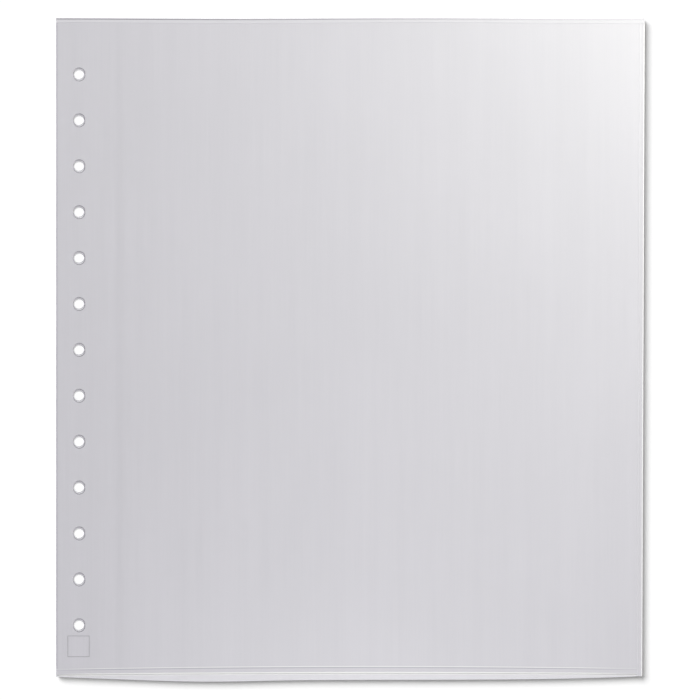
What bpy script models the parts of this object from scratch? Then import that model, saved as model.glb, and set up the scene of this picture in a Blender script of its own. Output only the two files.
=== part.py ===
"""A sheet protector for portfolio prints: two clear films welded into a pocket, with a punched margin.

The page lies flat with its punched margin at -X, its welded head at +Y and its open mouth at -Y.
Lengths are in metres. The page is drawn from its lower left corner, then centred on the origin.
"""

import math

import bmesh
import bpy
from mathutils import Vector

# The print that the pocket holds, and the room left around it
insert_width = 0.2794
insert_height = 0.3556
side_ease = 0.0063
mouth_ease = 0.0061

# The films
film_thickness = 0.000125
pocket_clearance = 0.00025
seat_gap = 0.0003

# The punched margin
margin_width = 0.0335
hole_count = 13
hole_pitch = 0.0254
hole_diameter = 0.00635
hole_inset = 0.0125
first_hole_drop = 0.0311
hole_sides = 32
punch_overrun = 0.0025

# The welded seams
binding_weld_width = 0.0029
head_weld_width = 0.0028
outer_weld_width = 0.0030
weld_edge_round = 0.00008
weld_edge_angle = math.radians(60)

# The line that the leaf turns about, beside the binding weld
flex_gap_margin = 0.00015
flex_gap_leaf = 0.00055

# The open mouth: a hem folded inward on the front film, and a longer lip on the back film
hem_width = 0.0034
hem_fold_gap = 0.000075
hem_inset = 0.0011
hem_arch = 0.0008
lip_bow = 0.0019
lip_flatness = 4
belly_depth = 0.0010
belly_place = 0.25
belly_spread = 0.12

# How far the corners lie from a true rectangle's
outer_draw = 0.0014
head_slope = 0.0
mouth_slope = 0.0004

# How finely curved edges are drawn
mouth_steps_per_metre = 80
fold_steps = 6
corner_merge = 0.0000001

# Places worked out from the sizes
flex_line = margin_width + binding_weld_width + flex_gap_margin
leaf_start = flex_line + flex_gap_leaf
pocket_width = insert_width + side_ease
page_width = leaf_start + pocket_width + outer_weld_width
page_height = mouth_ease + insert_height + head_weld_width

back_base = 0.0
fold_radius = (film_thickness + hem_fold_gap) / 2
front_base = back_base + film_thickness + pocket_clearance + 2 * fold_radius
page_top = front_base + film_thickness

# Each finish: its colour and its roughness
film_finish = ((0.60, 0.59, 0.63, 1.0), 0.32)
weld_finish = ((0.68, 0.67, 0.71, 1.0), 0.28)
hem_finish = ((0.56, 0.55, 0.59, 1.0), 0.30)


def clear_scene():
    for item in list(bpy.data.objects):
        bpy.data.objects.remove(item, do_unlink=True)


def new_collection(name):
    group = bpy.data.collections.new(name)
    bpy.context.scene.collection.children.link(group)
    return group


def lip_line(x):
    """The lower edge of the back film: a flat bow with a fuller belly beside the margin."""
    share = x / page_width
    bow = lip_bow * (1 - abs(2 * share - 1) ** lip_flatness)
    belly = belly_depth * math.exp(-(((share - belly_place) / belly_spread) ** 2))
    return mouth_slope * share - bow - belly


def hem_line(x):
    """The folded edge of the front film, a little above the lip and arched up in the middle."""
    share = x / page_width
    return mouth_slope * share + hem_inset + hem_arch * (1 - (2 * share - 1) ** 2)


def over_hem(x):
    return hem_line(x) + hem_width + seat_gap


def head_line(x):
    return page_height - head_slope * x / page_width


def head_weld_edge(x):
    return head_line(x) - head_weld_width


def under_head_weld(x):
    return head_weld_edge(x) - seat_gap


def outer_edge(y):
    """The outer side's x, which draws in towards the mouth."""
    return page_width - outer_draw * (1 - y / page_height)


def steps_across(start, end):
    return max(1, round((end - start) * mouth_steps_per_metre))


def lowest_lip():
    steps = steps_across(0, page_width)
    return min(lip_line(page_width * i / steps) for i in range(steps + 1))


def straight_outline(start, end_low, end_high, bottom, top):
    """Four corners between two sides and two straight lines that follow x."""
    lower = [(start, bottom(start)), (end_low, bottom(end_low))]
    return lower + [(end_high, top(end_high)), (start, top(start))]


def bowed_outline(start, end_low, end_high, bottom, top):
    """Corners between two sides, a curved lower line and a straight upper one."""
    steps = steps_across(start, end_low)
    places = [start + (end_low - start) * i / steps for i in range(steps + 1)]
    lower = [(x, bottom(x)) for x in places]
    return lower + [(end_high, top(end_high)), (start, top(start))]


def flat_piece(name, outline, base, thickness, group, parent):
    """A flat outline given its thickness, as a mesh whose lowest face is at base."""
    curve = bpy.data.curves.new(name + "_outline", "CURVE")
    curve.dimensions = "2D"
    curve.fill_mode = "BOTH"
    curve.extrude = thickness / 2
    spline = curve.splines.new("POLY")
    spline.points.add(len(outline) - 1)
    origin = parent.matrix_world.translation
    for point, (x, y) in zip(spline.points, outline):
        point.co = (x + page_shift.x - origin.x, y + page_shift.y - origin.y, 0, 1)
    spline.use_cyclic_u = True
    drawn = bpy.data.objects.new(name + "_outline", curve)
    group.objects.link(drawn)
    graph = bpy.context.evaluated_depsgraph_get()
    mesh = bpy.data.meshes.new_from_object(drawn.evaluated_get(graph))
    bpy.data.objects.remove(drawn, do_unlink=True)
    mesh.name = name
    shape = bmesh.new()
    shape.from_mesh(mesh)
    bmesh.ops.remove_doubles(shape, verts=shape.verts, dist=corner_merge)
    bmesh.ops.translate(shape, verts=shape.verts, vec=(0, 0, base + thickness / 2 - origin.z))
    bmesh.ops.recalc_face_normals(shape, faces=shape.faces)
    shape.to_mesh(mesh)
    shape.free()
    piece = bpy.data.objects.new(name, mesh)
    group.objects.link(piece)
    piece.parent = parent
    return piece


def add_finish(piece, look):
    colour, roughness = look
    material = bpy.data.materials.new(piece.name + "_finish")
    material.use_nodes = True
    shader = material.node_tree.nodes["Principled BSDF"]
    shader.inputs["Base Color"].default_value = colour
    shader.inputs["Roughness"].default_value = roughness
    piece.data.materials.clear()
    piece.data.materials.append(material)


def pivot(name, place, parent, group):
    """An empty at a place given from the page's lower left corner."""
    empty = bpy.data.objects.new(name, None)
    group.objects.link(empty)
    empty.parent = parent
    empty.location = Vector(place) + page_shift - parent.matrix_world.translation
    bpy.context.view_layer.update()
    return empty


def punch(group):
    """One round cutter for each hole, down the margin from the head."""
    first = head_line(0) - first_hole_drop
    bpy.ops.mesh.primitive_cylinder_add(
        vertices=hole_sides,
        radius=hole_diameter / 2,
        depth=page_top + 2 * punch_overrun,
    )
    cutter = bpy.context.object
    cutter.name = "hole_punch"
    for owner in list(cutter.users_collection):
        owner.objects.unlink(cutter)
    group.objects.link(cutter)
    cutter.location = Vector((hole_inset, first, page_top / 2)) + page_shift
    row = cutter.modifiers.new("row", "ARRAY")
    row.count = hole_count
    row.use_relative_offset = False
    row.use_constant_offset = True
    row.constant_offset_displace = (0, -hole_pitch, 0)
    row.use_merge_vertices = False
    cutter.hide_render = True
    cutter.display_type = "WIRE"
    return cutter


def punched_ply(name, base, bottom, cutter, group, parent):
    """One film layer of the margin, with the row of ring holes cut through it."""
    side = margin_width - seat_gap
    outline = bowed_outline(0, side, side, bottom, under_head_weld)
    ply = flat_piece(name, outline, base, film_thickness, group, parent)
    holes = ply.modifiers.new("ring_holes", "BOOLEAN")
    holes.operation = "DIFFERENCE"
    holes.solver = "EXACT"
    holes.object = cutter
    add_finish(ply, film_finish)


def film(name, base, bottom, group, parent):
    """One film layer of the pocket, between the binding weld and the outer weld."""
    side_gap = outer_weld_width + seat_gap
    side_low = outer_edge(0) - side_gap
    side_high = outer_edge(page_height) - side_gap
    outline = bowed_outline(leaf_start, side_low, side_high, bottom, under_head_weld)
    sheet = flat_piece(name, outline, base, film_thickness, group, parent)
    add_finish(sheet, film_finish)


def weld(name, outline, group, parent):
    """A fused strip as thick as both films and the pocket between them."""
    strip = flat_piece(name, outline, back_base, page_top - back_base, group, parent)
    edge = strip.modifiers.new("pressed_edge", "BEVEL")
    edge.width = weld_edge_round
    edge.segments = 1
    edge.limit_method = "ANGLE"
    edge.angle_limit = weld_edge_angle
    add_finish(strip, weld_finish)


def hem_profile():
    """The middle of the hem's film, seen along the mouth: out, round a tight fold, and back below."""
    upper = front_base + film_thickness / 2
    middle = upper - fold_radius
    bend = fold_radius + film_thickness / 2
    points = [(hem_width, upper)]
    for i in range(fold_steps + 1):
        turn = math.pi * (0.5 + i / fold_steps)
        out = bend + fold_radius * math.cos(turn)
        points.append((out, middle + fold_radius * math.sin(turn)))
    points.append((hem_width, upper - 2 * fold_radius))
    return points


def hem(name, start, end, group, parent):
    """The front film's folded edge from start to end: its middle surface, given the film's thickness."""
    profile = hem_profile()
    rows = len(profile) - 1
    columns = steps_across(start, end)
    origin = parent.matrix_world.translation
    shape = bmesh.new()
    bmesh.ops.create_grid(shape, x_segments=columns, y_segments=rows, size=1)
    for vert in shape.verts:
        x = start + (end - start) * (vert.co.x + 1) / 2
        out, height = profile[round((vert.co.y + 1) / 2 * rows)]
        vert.co = Vector((x, hem_line(x) + out, height)) + page_shift - origin
    bmesh.ops.recalc_face_normals(shape, faces=shape.faces)
    mesh = bpy.data.meshes.new(name)
    shape.to_mesh(mesh)
    shape.free()
    mesh.shade_smooth()
    strip = bpy.data.objects.new(name, mesh)
    group.objects.link(strip)
    strip.parent = parent
    wall = strip.modifiers.new("film_thickness", "SOLIDIFY")
    wall.thickness = film_thickness
    wall.offset = 0
    wall.use_even_offset = True
    add_finish(strip, hem_finish)


clear_scene()
sheet_protector = new_collection("sheet_protector")
cutters = new_collection("cutters")

page_shift = Vector((-page_width / 2, -(page_height + lowest_lip()) / 2, 0))
page = bpy.data.objects.new("page", None)
sheet_protector.objects.link(page)

# The margin, which the rings hold
ring_holes = punch(cutters)
punched_ply("margin_back_ply", back_base, lip_line, ring_holes, sheet_protector, page)
punched_ply("margin_front_ply", front_base, over_hem, ring_holes, sheet_protector, page)
hem("margin_hem", 0, margin_width - seat_gap, sheet_protector, page)

margin_end = margin_width + binding_weld_width
margin_head = straight_outline(0, margin_end, margin_end, head_weld_edge, head_line)
weld("margin_head_weld", margin_head, sheet_protector, page)
binding = straight_outline(margin_width, margin_end, margin_end, lip_line, under_head_weld)
weld("binding_weld", binding, sheet_protector, page)

# The leaf, which flexes beside the binding weld
flex_place = (flex_line, page_height / 2, (back_base + page_top) / 2)
leaf_pivot = pivot("leaf_pivot", flex_place, page, sheet_protector)
film("back_film", back_base, lip_line, sheet_protector, leaf_pivot)
film("front_film", front_base, over_hem, sheet_protector, leaf_pivot)

outer_corner = outer_edge(page_height)
head = straight_outline(leaf_start, outer_corner, outer_corner, head_weld_edge, head_line)
weld("head_weld", head, sheet_protector, leaf_pivot)
low_end = outer_edge(0)
low_start = low_end - outer_weld_width
outer = [
    (low_start, lip_line(low_start)),
    (low_end, lip_line(low_end)),
    (outer_corner, under_head_weld(outer_corner)),
    (outer_corner - outer_weld_width, under_head_weld(outer_corner)),
]
weld("outer_weld", outer, sheet_protector, leaf_pivot)

# The mouth, which lifts off the back film
hem_end = low_start - seat_gap
mouth_middle = (leaf_start + hem_end) / 2
mouth_place = (mouth_middle, hem_line(mouth_middle), front_base)
mouth_pivot = pivot("mouth_pivot", mouth_place, leaf_pivot, sheet_protector)
hem("mouth_hem", leaf_start, hem_end, sheet_protector, mouth_pivot)
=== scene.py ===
import math

import bmesh
import bpy
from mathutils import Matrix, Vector


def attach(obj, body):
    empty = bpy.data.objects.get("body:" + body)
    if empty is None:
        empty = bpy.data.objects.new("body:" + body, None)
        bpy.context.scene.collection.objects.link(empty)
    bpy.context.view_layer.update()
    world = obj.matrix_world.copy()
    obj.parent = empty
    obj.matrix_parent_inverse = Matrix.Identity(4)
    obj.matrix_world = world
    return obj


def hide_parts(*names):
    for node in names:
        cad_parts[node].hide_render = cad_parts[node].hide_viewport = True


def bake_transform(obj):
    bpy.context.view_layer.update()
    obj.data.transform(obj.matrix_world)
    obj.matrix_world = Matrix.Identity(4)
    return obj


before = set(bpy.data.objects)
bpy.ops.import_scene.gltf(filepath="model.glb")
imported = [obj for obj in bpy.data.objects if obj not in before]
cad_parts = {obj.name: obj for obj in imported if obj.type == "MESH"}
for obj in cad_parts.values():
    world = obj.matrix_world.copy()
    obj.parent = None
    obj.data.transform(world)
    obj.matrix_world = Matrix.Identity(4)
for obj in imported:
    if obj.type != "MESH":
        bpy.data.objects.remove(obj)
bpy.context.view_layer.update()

# Metres, measured from the page's lower left corner, as the solids have them
page = {
    "width": 0.3258,
    "height": 0.3645,
    "shiftX": -0.1629,
    "shiftY": -0.18090963,
    "film": 0.000125,
    "frontBase": 0.000575,
    "top": 0.0007,
    "outerWeld": 0.0030,
    "headWeld": 0.0028,
    "outerDraw": 0.0014,
    "mouthSlope": 0.0004,
}
head = {"rise": 0.00025, "ripple": 0.00018, "wave": 0.61}
lip = {"bow": 0.0019, "belly": 0.0010, "bellyAt": 0.25, "bellySpread": 0.12}
fold = {"corner": 0.0011, "bow": 0.0008}
flex = {"start": 0.03655, "end": 0.0450, "steps": 12}  # the band that bends on the rings
# The part of the front film at the mouth, and in how many panels from each side to the middle
mouth = {"left": 0.0450, "middle": 0.1838, "right": 0.3213, "reach": 0.120, "panels": 4}


def lipLine(x):  # lower edge of the back film
    share = x / page["width"]
    bow = lip["bow"] * (1 - abs(2 * share - 1) ** 4)
    belly = lip["belly"] * math.exp(-(((share - lip["bellyAt"]) / lip["bellySpread"]) ** 2))
    return page["mouthSlope"] * share - bow - belly


def foldLine(x):  # folded edge of the front film
    share = x / page["width"]
    return page["mouthSlope"] * share + fold["corner"] + fold["bow"] * (1 - (2 * share - 1) ** 2)


def headLine(x):  # the weld at the head has drawn the films up a little, in waves
    share = x / page["width"]
    wave = head["ripple"] * (1 - math.cos(2 * math.pi * share / head["wave"]))
    return page["height"] + head["rise"] - wave


def underHeadWeld(x):
    return headLine(x) - page["headWeld"]


def outerLean(y):  # the outer side draws in towards the mouth
    return 1 - page["outerDraw"] / page["width"] * (1 - y / page["height"])


def evenly(start, end, step):
    count = max(1, math.ceil((end - start) / step - 0.001))
    return [start + (end - start) * i / count for i in range(count + 1)]


# Each piece starts as a grid: places run along it, shares across it, and put gives a corner's
# x, y and z and its two map values
def laidGrid(places, shares, put):
    bm = bmesh.new()
    across, along = len(shares) - 1, len(places) - 1
    bmesh.ops.create_grid(bm, x_segments=along, y_segments=across, size=1)
    values = {}
    for vert in bm.verts:
        place = places[round((vert.co.x + 1) / 2 * along)]
        share = shares[round((vert.co.y + 1) / 2 * across)]
        x, y, z, u, v = put(place, share)
        vert.co = (x + page["shiftX"], y + page["shiftY"], z)
        values[vert.index] = (u, v)
    placeMap = bm.loops.layers.uv.new("placeMap")
    for face in bm.faces:
        for loop in face.loops:
            loop[placeMap].uv = values[loop.vert.index]
    bmesh.ops.recalc_face_normals(bm, faces=bm.faces)
    return bm


def downTo(bm, base):  # closes an open sheet with a wall down to the height base
    made = bmesh.ops.extrude_face_region(bm, geom=bm.faces[:])
    for part in made["geom"]:
        if isinstance(part, bmesh.types.BMVert):
            part.co.z = base
    bmesh.ops.recalc_face_normals(bm, faces=bm.faces)
    return bm


def makePiece(name, bm, finish):
    mesh = bpy.data.meshes.new(name)
    bm.to_mesh(mesh)
    bm.free()
    mesh.materials.append(finish)
    piece = bpy.data.objects.new(name, mesh)
    bpy.context.scene.collection.objects.link(piece)
    return piece


def applyModifiers(piece):
    graph = bpy.context.evaluated_depsgraph_get()
    done = bpy.data.meshes.new_from_object(piece.evaluated_get(graph))
    piece.modifiers.clear()
    piece.data = done


def smoothFaces(piece):
    piece.data.shade_smooth()
    piece.data.set_sharp_from_angle(angle=math.radians(40))


def filmSheet(name, places, shares, bottom, base, finish):  # a flat film from bottom to the head weld
    def put(place, share):
        y = bottom(place) + (underHeadWeld(place) - bottom(place)) * share
        x = place * outerLean(y)
        return x, y, base + page["film"], y - foldLine(place), y - bottom(place)

    return makePiece(name, downTo(laidGrid(places, shares, put), base), finish)


# Dark and light are the two ends of a finish's tone, grain is the depth of its fine lines
finishes = {
    "clearFilm": {
        "dark": (0.626, 0.613, 0.668, 1),
        "light": (0.668, 0.653, 0.712, 1),
        "alpha": 0.45,
        "rough": (0.38, 0.48),
        "grain": 0.10,
    },
    "weldedSeam": {
        "dark": (0.563, 0.550, 0.601, 1),
        "light": (0.606, 0.592, 0.647, 1),
        "alpha": 0.55,
        "rough": (0.34, 0.44),
        "grain": 0.14,
    },
    # the pressed line is painted dark, as painted shade in the pressing
    "pressedLineShade": {
        "dark": (0.419, 0.410, 0.446, 1),
        "light": (0.455, 0.446, 0.482, 1),
        "alpha": 0.45,
        "rough": (0.40, 0.50),
        "grain": 0.10,
    },
    "foldedHem": {
        "dark": (0.629, 0.614, 0.672, 1),
        "light": (0.665, 0.649, 0.709, 1),
        "alpha": 0.45,
        "rough": (0.46, 0.56),
        "grain": 0.10,
    },
}
# Noise scales, long in Y, and what each noise adds to the tone
drawn = {
    "grain": (1400, 22, 1),
    "streak": (170, 3, 1),
    "cloud": 11,
    "lineShare": 0.35,
    "cloudShare": 0.3,
    "spread": (0.3, 0.7),
    "ridge": 0.00004,
}
gloss = {"bend": 1.5, "shine": 1.0}  # index of refraction and specular level


def addNode(tree, kind, inputs=None, **settings):
    node = tree.nodes.new(kind)
    for name, value in settings.items():
        setattr(node, name, value)
    for name, value in (inputs or {}).items():
        if hasattr(value, "is_output"):
            tree.links.new(value, node.inputs[name])
        else:
            node.inputs[name].default_value = value
    return node


def mapRange(tree, value, low, high, toLow, toHigh):
    node = addNode(tree, "ShaderNodeMapRange", {"Value": value, "From Min": low, "From Max": high})
    node.inputs["To Min"].default_value = toLow
    node.inputs["To Max"].default_value = toHigh
    return node.outputs["Result"]


def maths(tree, operation, first, second):
    node = addNode(tree, "ShaderNodeMath", operation=operation)
    for socket, value in zip(node.inputs, (first, second)):
        if hasattr(value, "is_output"):
            tree.links.new(value, socket)
        else:
            socket.default_value = value
    return node.outputs[0]


def mixColour(tree, blendType, factor, first, second):
    node = addNode(tree, "ShaderNodeMix", data_type="RGBA", blend_type=blendType, clamp_factor=True)
    for name, value in (("Factor", factor), ("A", first), ("B", second)):
        isColour = name != "Factor"
        socket = next(s for s in node.inputs if s.name == name and (s.type == "RGBA") == isColour)
        if hasattr(value, "is_output"):
            tree.links.new(value, socket)
        else:
            socket.default_value = value
    return next(s for s in node.outputs if s.type == "RGBA")


def band(tree, value, start, end, soft):  # 1 between start and end, fading over soft
    rise = mapRange(tree, value, start - soft, start, 0, 1)
    fall = mapRange(tree, value, end, end + soft, 1, 0)
    return maths(tree, "MULTIPLY", rise, fall)


def drawnNoise(tree, place, name, detail):  # noise drawn out along the film
    scaled = addNode(tree, "ShaderNodeMapping", {"Vector": place, "Scale": drawn[name]})
    inputs = {"Vector": scaled.outputs[0], "Scale": 1, "Detail": detail}
    return addNode(tree, "ShaderNodeTexNoise", inputs).outputs[0]


def makeFinish(name, look, lines=None):
    look = finishes[look]
    material = bpy.data.materials.new(name)
    material.use_nodes = True
    tree = material.node_tree
    shader = tree.nodes["Principled BSDF"]
    place = addNode(tree, "ShaderNodeTexCoord").outputs["Object"]
    grain = drawnNoise(tree, place, "grain", 3)
    streak = drawnNoise(tree, place, "streak", 2)
    cloud = addNode(tree, "ShaderNodeTexNoise", {"Vector": place, "Scale": drawn["cloud"], "Detail": 2})
    fineLines = maths(tree, "MULTIPLY", maths(tree, "ADD", grain, streak), drawn["lineShare"])
    clouds = maths(tree, "MULTIPLY", cloud.outputs[0], drawn["cloudShare"])
    tone = mapRange(tree, maths(tree, "ADD", fineLines, clouds), *drawn["spread"], 0, 1)
    colour = mixColour(tree, "MIX", tone, look["dark"], look["light"])
    # lines, where given, paints highlights and shade into the colour
    if lines:
        colour = lines(tree, colour, place)
    tree.links.new(colour, shader.inputs["Base Color"])
    rough = mapRange(tree, grain, *drawn["spread"], *look["rough"])
    tree.links.new(rough, shader.inputs["Roughness"])
    ridges = {"Height": grain, "Strength": look["grain"], "Distance": drawn["ridge"]}
    bump = addNode(tree, "ShaderNodeBump", ridges)
    tree.links.new(bump.outputs[0], shader.inputs["Normal"])
    shader.inputs["Alpha"].default_value = look["alpha"]
    shader.inputs["IOR"].default_value = gloss["bend"]
    shader.inputs["Specular IOR Level"].default_value = gloss["shine"]
    return material


# Painted shade along the cut binding edge of the films
cutEdgeShade = {"solid": 0.0004, "gone": 0.0013, "strength": 0.85, "shade": (0.66, 0.66, 0.69, 1)}


def cutEdgePaintedShade(tree, colour, place):  # painted shade: the cut binding edge is painted darker
    x = addNode(tree, "ShaderNodeSeparateXYZ", {"Vector": place}).outputs["X"]
    solid, gone = page["shiftX"] + cutEdgeShade["solid"], page["shiftX"] + cutEdgeShade["gone"]
    edge = mapRange(tree, x, solid, gone, cutEdgeShade["strength"], 0)
    return mixColour(tree, "MULTIPLY", edge, colour, cutEdgeShade["shade"])


# Start, end and softness of each painted highlight and shaded line: along the hem's strip in metres,
# across a seam in shares. The hem's painted lines are at full strength from the first to the second
# place in full, in metres, and the head's fade between two such places, from one strength to the other
hemLightAndShade = {
    # hair and fold are painted highlights, inner is a painted shadow line
    "hairHighlight": (0.0001, 0.0004, 0.0001),
    "inner": (0.0007, 0.0010, 0.0002),
    "fold": (0.0033, 0.0046, 0.0003),
    "full": (0.019, 0.300, 0.017),
    "weakest": 0.35,
    "hairShare": 0.7,
    "foldShare": 0.8,
    "innerShade": (0.72, 0.72, 0.75, 1),
}
# Painted light on the welded seams: highlights on the beads and the outer edge, painted shade along the
# head's cut edge
seamLightAndShade = {
    "headBead": (0.50, 0.62, 0.06),
    "headPale": (0.04, 0.50, 0.05),
    "headDark": (0.70, 0.80, 0.06),
    "paleShare": 0.45,
    "brightFade": (0.12, 0.30, 1, 0.2),
    "darkFade": (0.08, 0.28, 0.9, 0.05),
    "outerBead": (0.02, 0.18, 0.05),
    "outerEdge": (0.80, 0.90, 0, 0.9),
    "pale": (0.640, 0.626, 0.682, 1),
    "headShade": (0.30, 0.30, 0.32, 1),
    "outerShine": (0.90, 0.89, 0.92, 1),
}
white = (1, 1, 1, 1)


def mapPlace(tree):  # the two map values that laidGrid has given a piece
    mapped = addNode(tree, "ShaderNodeUVMap", uv_map="placeMap").outputs[0]
    parts = addNode(tree, "ShaderNodeSeparateXYZ", {"Vector": mapped})
    return parts.outputs["X"], parts.outputs["Y"]


def hemHighlightsAndShade(tree, colour, place):  # painted highlights and shade; the second value runs from the film's junction round the fold
    along, across = mapPlace(tree)
    full = band(tree, along, *hemLightAndShade["full"])
    fade = mapRange(tree, full, 0, 1, hemLightAndShade["weakest"], 1)
    lines = [band(tree, across, *hemLightAndShade[mark]) for mark in ("hairHighlight", "inner", "fold")]
    hairHighlight, inner, folded = (maths(tree, "MULTIPLY", line, fade) for line in lines)
    hairHighlight = maths(tree, "MULTIPLY", hairHighlight, hemLightAndShade["hairShare"])
    folded = maths(tree, "MULTIPLY", folded, hemLightAndShade["foldShare"])
    colour = mixColour(tree, "MIX", hairHighlight, colour, white)
    colour = mixColour(tree, "MULTIPLY", inner, colour, hemLightAndShade["innerShade"])
    return mixColour(tree, "MIX", folded, colour, white)


# Along a seam the map is in metres, and across it 0 is its inner side and 1 its cut edge
def headHighlightsAndShade(tree, colour, place):  # painted highlight on the bead and inner half, painted shade along the cut edge, strongest near the binding and fading to the right
    along, across = mapPlace(tree)
    pale = maths(tree, "MULTIPLY", band(tree, across, *seamLightAndShade["headPale"]), seamLightAndShade["paleShare"])
    bright = maths(tree, "MAXIMUM", band(tree, across, *seamLightAndShade["headBead"]), pale)
    bright = maths(tree, "MULTIPLY", bright, mapRange(tree, along, *seamLightAndShade["brightFade"]))
    colour = mixColour(tree, "MIX", bright, colour, seamLightAndShade["pale"])
    dark = band(tree, across, *seamLightAndShade["headDark"])
    dark = maths(tree, "MULTIPLY", dark, mapRange(tree, along, *seamLightAndShade["darkFade"]))
    return mixColour(tree, "MULTIPLY", dark, colour, seamLightAndShade["headShade"])


# Painted highlights: a bright bead and a bright line along the outer cut edge
def outerHighlights(tree, colour, place):
    across = mapPlace(tree)[1]
    bead = band(tree, across, *seamLightAndShade["outerBead"])
    colour = mixColour(tree, "MIX", bead, colour, seamLightAndShade["pale"])
    edge = mapRange(tree, across, *seamLightAndShade["outerEdge"])
    return mixColour(tree, "MIX", edge, colour, seamLightAndShade["outerShine"])


# The ring holes of the two films stand a little out of line, and each has painted shade round its edge
holes = {
    "count": 13,
    "pitch": 0.0254,
    "radius": 0.00302,
    "inset": 0.0125,
    "drop": 0.0311,
    "slip": 0.0010,
    "sides": 48,
    "punch": 0.004,
}
holeEdgeShade = {
    # shift sets the painted shade a little to the right, so it is heaviest on that side
    "shift": 0.0004,
    "inside": 0.00015,
    "outside": 0.00030,
    "soft": 0.00010,
    "end": 0.001,
    "shade": (0.42, 0.42, 0.44, 1),
}


def holeShadeRing(tree, parts, slide):  # painted shade mask: 1 along the edge of each hole of one film, else 0
    first = page["height"] - holes["drop"] + slide + page["shiftY"]
    middle = holes["inset"] + page["shiftX"] + holeEdgeShade["shift"]
    across = maths(tree, "SUBTRACT", parts.outputs["X"], middle)
    down = maths(tree, "SUBTRACT", first + holes["pitch"] / 2, parts.outputs["Y"])
    down = maths(tree, "SUBTRACT", maths(tree, "MODULO", down, holes["pitch"]), holes["pitch"] / 2)
    acrossSquare = maths(tree, "MULTIPLY", across, across)
    downSquare = maths(tree, "MULTIPLY", down, down)
    away = maths(tree, "POWER", maths(tree, "ADD", acrossSquare, downSquare), 0.5)
    inside, outside = holes["radius"] - holeEdgeShade["inside"], holes["radius"] + holeEdgeShade["outside"]
    ring = band(tree, away, inside, outside, holeEdgeShade["soft"])
    lowest = first - holes["pitch"] * (holes["count"] - 0.5)
    inRow = mapRange(tree, parts.outputs["Y"], lowest - holeEdgeShade["end"], lowest, 0, 1)
    return maths(tree, "MULTIPLY", ring, inRow)


def frontPaintedShade(tree, colour, place):  # painted shade round both films' holes, the lower film's showing through the front film, and along the cut edge
    parts = addNode(tree, "ShaderNodeSeparateXYZ", {"Vector": place})
    rings = [holeShadeRing(tree, parts, slide) for slide in (holes["slip"] / 2, -holes["slip"] / 2)]
    ring = maths(tree, "MAXIMUM", rings[0], rings[1])
    colour = mixColour(tree, "MULTIPLY", ring, colour, holeEdgeShade["shade"])
    return cutEdgePaintedShade(tree, colour, place)


# A painted highlight on the back film just past the fold
besideHemHighlight = {"line": (-0.0007, 0.0, 0.0002), "share": 0.65}


def backHighlightAndShade(tree, colour, place):  # painted highlight: a bright line beside the folded hem; painted shade along the cut edge
    pastFold = mapPlace(tree)[0]
    beside = maths(tree, "MULTIPLY", band(tree, pastFold, *besideHemHighlight["line"]), besideHemHighlight["share"])
    colour = mixColour(tree, "MIX", beside, colour, white)
    return cutEdgePaintedShade(tree, colour, place)


backFinish = makeFinish("backFilm", "clearFilm", backHighlightAndShade)
frontFinish = makeFinish("frontFilm", "clearFilm", frontPaintedShade)
headSeam = makeFinish("headSeam", "weldedSeam", headHighlightsAndShade)
outerSeam = makeFinish("outerSeam", "weldedSeam", outerHighlights)
weldCore = makeFinish("weldCore", "clearFilm")
foldedHem = makeFinish("foldedHem", "foldedHem", hemHighlightsAndShade)
pressedLineShade = makeFinish("pressedLineShade", "pressedLineShade")
print("finishes ready")


def punchHoles(piece, slide):
    bm = bmesh.new()
    for i in range(holes["count"]):
        made = bmesh.ops.create_cone(
            bm,
            cap_ends=True,
            segments=holes["sides"],
            radius1=holes["radius"],
            radius2=holes["radius"],
            depth=holes["punch"],
        )
        y = page["height"] - holes["drop"] - holes["pitch"] * i + slide
        place = (holes["inset"] + page["shiftX"], y + page["shiftY"], 0)
        bmesh.ops.translate(bm, verts=made["verts"], vec=place)
    cutter = makePiece("holePunch", bm, piece.data.materials[0])
    cut = piece.modifiers.new("ringHoles", "BOOLEAN")
    cut.operation = "DIFFERENCE"
    cut.solver = "EXACT"
    cut.object = cutter
    applyModifiers(piece)
    bpy.data.objects.remove(cutter, do_unlink=True)


# The two films, in finer rows near the mouth
filmSteps = {"margin": 0.0060, "pocket": 0.0050, "rows": 28, "mouthRows": 30, "headShare": 0.1}
marginPlaces = evenly(0, flex["start"], filmSteps["margin"])[:-1]
flexPlaces = evenly(flex["start"], flex["end"], (flex["end"] - flex["start"]) / flex["steps"])
filmEnd = page["width"] - page["outerWeld"]
evenShares = evenly(0, 1, 1 / filmSteps["rows"])
mouthShare = mouth["reach"] / page["height"]
mouthShares = evenly(0, mouthShare, mouthShare / filmSteps["mouthRows"])[:-1]
mouthShares += evenly(mouthShare, 1, filmSteps["headShare"])

# Flat and turn count the strip's steps. The map's second value grows by mapTop, mapTurn and
# mapLower at each of them, and starts anew at mapFold and mapUnder
hem = {
    "corner": 0.0029,
    "swell": 0.0007,
    "lap": 0.0004,
    "radius": 0.0001,
    "flat": 3,
    "turn": 8,
    "mapTop": 0.0012,
    "mapFold": 0.0036,
    "mapTurn": 0.00004,
    "mapUnder": 0.006,
    "mapLower": 0.001,
}


def hemWidth(x):  # the hem narrows a little towards the corners
    share = x / page["width"]
    return hem["corner"] + hem["swell"] * (1 - (2 * share - 1) ** 2)


def filmFoot(x):  # where the front film's flat part meets the hem
    return foldLine(x) + hemWidth(x) + hem["lap"]


backPlaces = marginPlaces + flexPlaces[:-1] + evenly(flex["end"], filmEnd, filmSteps["pocket"])
backFilm = filmSheet("backFilm", backPlaces, evenShares, lipLine, 0, backFinish)
punchHoles(backFilm, -holes["slip"] / 2)
frontPlaces = marginPlaces + flexPlaces


def frontSheet(name, places, shares):
    return filmSheet(name, places, shares, filmFoot, page["frontBase"], frontFinish)


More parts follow.
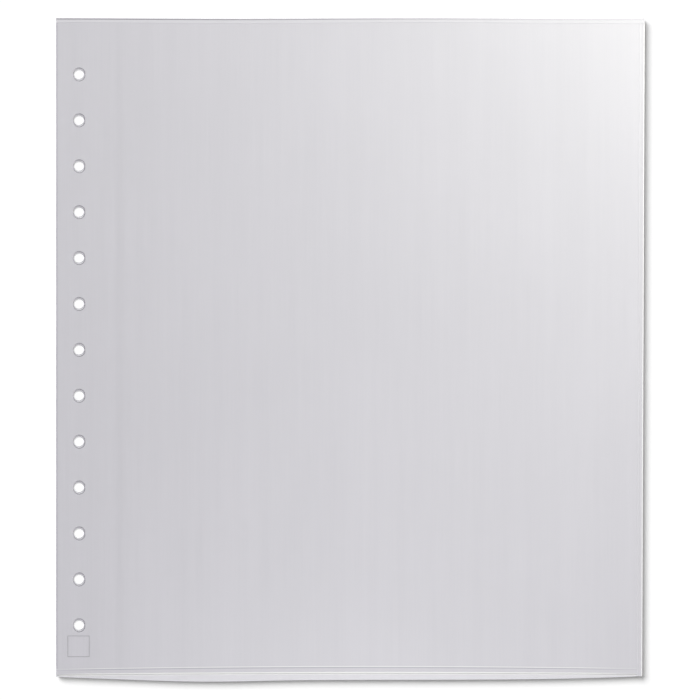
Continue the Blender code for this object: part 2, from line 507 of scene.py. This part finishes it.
frontMargin = frontSheet("frontMargin", frontPlaces, evenShares)
punchHoles(frontMargin, holes["slip"] / 2)


def archPoints():  # places along the mouth, each with its share of the lift
    points = []
    for step in range(-mouth["panels"], mouth["panels"] + 1):
        side = mouth["left"] if step < 0 else mouth["right"]
        away = abs(step) / mouth["panels"]
        points.append((mouth["middle"] + (side - mouth["middle"]) * away, 1 - away**2))
    return points


# The front film is made in panels between the places that archPoints gives
arch = archPoints()
panelEnds = list(zip(arch, arch[1:]))
panelPlaces = []
for (left, leftLift), (right, rightLift) in panelEnds:
    stop = right if rightLift else filmEnd  # the last panel runs on to the outer weld
    panelPlaces.append(evenly(left, stop, filmSteps["pocket"]))
frontPanels = []
for i, places in enumerate(panelPlaces, 1):
    frontPanels.append(frontSheet(f"frontPanel{i}", places, mouthShares))
print("films ready")


def hemStrip(name, places):  # film out to the fold, round it and back below
    upper = page["frontBase"] + page["film"] / 2
    bend = hem["radius"] + page["film"] / 2
    flat, turn = hem["flat"], hem["turn"]

    def put(place, share):
        step = round(share * (turn + 2 * flat))
        reach = hemWidth(place)
        if step <= flat:  # the layer on top
            out = reach + hem["lap"] + (bend - reach - hem["lap"]) * step / flat
            z = upper
            along = hem["mapTop"] * step
        elif step <= flat + turn:  # round the fold
            angle = math.pi * (0.5 + (step - flat) / turn)
            out = bend + hem["radius"] * math.cos(angle)
            z = upper - hem["radius"] + hem["radius"] * math.sin(angle)
            along = hem["mapFold"] + hem["mapTurn"] * (step - flat)
        else:  # the layer turned in below
            out = bend + (reach - bend) * (step - flat - turn) / flat
            z = upper - 2 * hem["radius"]
            along = hem["mapUnder"] + hem["mapLower"] * (step - flat - turn)
        y = foldLine(place) + out
        return place * outerLean(y), y, z, place, along

    shares = evenly(0, 1, 1 / (turn + 2 * flat))
    strip = makePiece(name, laidGrid(places, shares, put), foldedHem)
    wall = strip.modifiers.new("wall", "SOLIDIFY")
    wall.thickness = page["film"]
    wall.offset = 0
    wall.use_even_offset = True
    applyModifiers(strip)
    smoothFaces(strip)
    return strip


marginHem = hemStrip("marginHem", frontPlaces)
hemPanels = [hemStrip(f"hemPanel{i}", places) for i, places in enumerate(panelPlaces, 1)]
print("hem ready")

# Welded seams: a pressed strip with a raised bead along each side, as shares across it and heights
seam = {"bead": 0.0007, "pressed": 0.00066, "edge": 0.00062, "step": 0.01}
seamSection = [
    (0, seam["edge"]), (0.07, seam["bead"]), (0.16, seam["bead"]), (0.24, seam["pressed"]),
    (0.76, seam["pressed"]), (0.84, seam["bead"]), (0.93, seam["bead"]), (1, seam["edge"]),
]
seamShares = [share for share, height in seamSection]
seamHeight = dict(seamSection)


def headPut(place, share):
    y = underHeadWeld(place) + page["headWeld"] * share
    return place * outerLean(y), y, seamHeight[share], place, share


def outerPut(place, share):
    outer = page["width"] * outerLean(place)
    return outer - page["outerWeld"] * (1 - share), place, seamHeight[share], place, share


headPlaces = marginPlaces + flexPlaces[:-1] + evenly(flex["end"], page["width"], seam["step"])
headWeld = makePiece("headWeld", downTo(laidGrid(headPlaces, seamShares, headPut), 0), headSeam)
outerPlaces = evenly(lipLine(page["width"]), underHeadWeld(page["width"]), seam["step"])
outerWeld = makePiece("outerWeld", downTo(laidGrid(outerPlaces, seamShares, outerPut), 0), outerSeam)

# The weld beside the rings lies between the films, in their own finish, so it doesn't show
binding = {"left": 0.0335, "width": 0.0029, "low": 0.00015, "high": 0.00055, "step": 0.02}


def bindingPut(place, share):
    return binding["left"] + binding["width"] * share, place, binding["high"], place, share


bindingMiddle = binding["left"] + binding["width"] / 2
bindingPlaces = evenly(filmFoot(bindingMiddle), underHeadWeld(bindingMiddle), binding["step"])
bindingCore = downTo(laidGrid(bindingPlaces, [0, 1], bindingPut), binding["low"])
bindingWeld = makePiece("bindingWeld", bindingCore, weldCore)
for piece in (headWeld, outerWeld):
    smoothFaces(piece)
print("seams ready")

# A plain pressed square low on the margin, its line painted dark as painted shade in the pressing
pressed = {
    "left": 0.0064,
    "low": 0.0111,
    "width": 0.0122,
    "height": 0.0118,
    "line": 0.00035,
    "rise": 0.00003,
}


def framePut(place, share):
    x = pressed["left"] + pressed["width"] * place
    return x, pressed["low"] + pressed["height"] * share, page["top"] + pressed["rise"], place, share


bm = laidGrid([0, 1], [0, 1], framePut)
line = bmesh.ops.inset_region(
    bm, faces=bm.faces, thickness=pressed["line"], use_boundary=True, use_even_offset=True
)
middle = [face for face in bm.faces if face not in line["faces"]]
bmesh.ops.delete(bm, geom=middle, context="FACES")
pressedFrame = makePiece("pressedFrame", downTo(bm, page["top"]), pressedLineShade)
print("pressed square ready")

# What moves with what: the outer weld rides on the leaf, and the binding weld and pressed square on the
# margin; the other pieces are baked in place
for piece in (backFilm, frontMargin, marginHem, headWeld):
    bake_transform(piece)


def liftBlend(piece):  # bakes the piece in place
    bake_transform(piece)


for film, strip, ends in zip(frontPanels, hemPanels, panelEnds):
    liftBlend(film)
    liftBlend(strip)
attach(outerWeld, "leaf")
for piece in (bindingWeld, pressedFrame):
    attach(piece, "margin")

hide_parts("margin_back_ply", "back_film")
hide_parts("margin_front_ply")
for piece in frontPanels:
    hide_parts("front_film")
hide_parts("margin_hem")
for piece in hemPanels:
    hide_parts("mouth_hem")
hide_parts("margin_head_weld", "head_weld")
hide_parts("outer_weld")
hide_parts("binding_weld")
filmPieces = [backFilm, frontMargin] + frontPanels
seamPieces = [headWeld, outerWeld, bindingWeld]
hemPieces = [marginHem, pressedFrame] + hemPanels
print("pieces ride on their bodies")

# A white card under the page, on a white floor
stage = {
    "floor": -0.0042,
    "reach": 4,
    "card": -0.0002,
    "inset": 0.0001,
    "white": (1.30, 1.30, 1.30, 1),
    "bounce": (0.8, 0.8, 0.8, 1),
    "shine": 1.0,
}


def straightView(tree):  # 1 where the camera looks, straight, through the film or by reflection
    path = addNode(tree, "ShaderNodeLightPath")
    seen = maths(tree, "MAXIMUM", path.outputs["Is Camera Ray"], path.outputs["Is Transmission Ray"])
    return maths(tree, "MAXIMUM", seen, path.outputs["Is Glossy Ray"])


def whiteCard(name):
    material = bpy.data.materials.new(name)
    material.use_nodes = True
    tree = material.node_tree
    colour = mixColour(tree, "MIX", straightView(tree), stage["bounce"], stage["white"])
    tree.nodes.remove(tree.nodes["Principled BSDF"])
    diffuse = addNode(tree, "ShaderNodeBsdfDiffuse", {"Color": colour})
    tree.links.new(diffuse.outputs[0], tree.nodes["Material Output"].inputs["Surface"])
    return material


def plainEdge(name):  # the card's edge looks as white as the ground behind it
    material = whiteCard(name)
    tree = material.node_tree
    shine = addNode(tree, "ShaderNodeEmission", {"Color": white, "Strength": stage["shine"]})
    mix = addNode(tree, "ShaderNodeMixShader", {"Fac": straightView(tree)})
    diffuse = next(node for node in tree.nodes if node.type == "BSDF_DIFFUSE")
    tree.links.new(diffuse.outputs[0], mix.inputs[1])
    tree.links.new(shine.outputs[0], mix.inputs[2])
    tree.links.new(mix.outputs[0], tree.nodes["Material Output"].inputs["Surface"])
    return material


paper = whiteCard("paperWhite")
bm = bmesh.new()
bmesh.ops.create_grid(bm, x_segments=1, y_segments=1, size=stage["reach"])
bmesh.ops.translate(bm, verts=bm.verts, vec=(0, 0, stage["floor"]))
floor = makePiece("floor", bm, paper)


def cardPut(place, share):  # the card has the page's outline, a little smaller all round
    low, high = lipLine(place) + stage["inset"], headLine(place) - stage["inset"]
    y = low + (high - low) * share
    x = stage["inset"] + place * (1 - 2 * stage["inset"] / page["width"])
    return x * outerLean(y), y, stage["card"], place, share


cardPlaces = evenly(0, page["width"], filmSteps["pocket"])
bm = downTo(laidGrid(cardPlaces, [0, 1], cardPut), stage["floor"])
for face in bm.faces:
    face.material_index = 0 if face.normal.z > 0.5 else 1
card = makePiece("card", bm, paper)
card.data.materials.append(plainEdge("cardEdge"))
print("card and floor ready")

# A soft key from the upper left, and two softboxes for the page alone: one beside its upper right
# corner, and a weak one in front of its mouth
key = {"energy": 2.42, "angle": 42, "towards": (0.61, -0.68, -1.0)}
softboxes = {
    "head": {
        "energy": 3.5,
        "size": 0.4,
        "colour": (0.98, 1.0, 0.88),
        "place": (0.35, 0.34, 0.42),
        "aim": (0.05, 0.03, 0),
    },
    "mouth": {
        "energy": 0.27,
        "size": 0.2,
        "colour": (0.98, 1.0, 0.95),
        "place": (0.0, -0.30, 0.25),
        "aim": (0.03, -0.10, 0),
    },
}
worldLight = 0.23


def addLamp(name, kind, energy, towards):
    lamp = bpy.data.lights.new(name, kind)
    lamp.energy = energy
    holder = bpy.data.objects.new(name, lamp)
    holder.rotation_euler = Vector(towards).to_track_quat("-Z", "Y").to_euler()
    bpy.context.scene.collection.objects.link(holder)
    return holder


keyLamp = addLamp("key", "SUN", key["energy"], key["towards"])
keyLamp.data.angle = math.radians(key["angle"])
lit = bpy.data.collections.new("litBySoftboxes")
for piece in filmPieces + seamPieces + hemPieces:
    lit.objects.link(piece)
for name, look in softboxes.items():
    towards = Vector(look["aim"]) - Vector(look["place"])
    softLamp = addLamp(name + "Softbox", "AREA", look["energy"], towards)
    softLamp.location = look["place"]
    softLamp.data.size = look["size"]
    softLamp.data.color = look["colour"]
    softLamp.visible_camera = False
    softLamp.light_linking.receiver_collection = lit

world = bpy.data.worlds.new("studio")
world.use_nodes = True
bpy.context.scene.world = world
tree = world.node_tree
strength = mapRange(tree, straightView(tree), 0, 1, worldLight, 1.0)
back = tree.nodes["Background"]
back.inputs["Color"].default_value = white
tree.links.new(strength, back.inputs["Strength"])

# Straight above, with a long lens
view = {"lens": 135, "sensor": 36, "across": 0.38730, "x": -0.0002, "y": 0.0}
lens = bpy.data.cameras.new("camera")
lens.lens = view["lens"]
lens.sensor_width = view["sensor"]
camera = bpy.data.objects.new("camera", lens)
above = view["across"] * view["lens"] / view["sensor"] + page["top"]
camera.location = (view["x"], view["y"], above)
bpy.context.scene.collection.objects.link(camera)
bpy.context.scene.camera = camera
bpy.context.scene.view_settings.view_transform = "Standard"

print("scene ready")
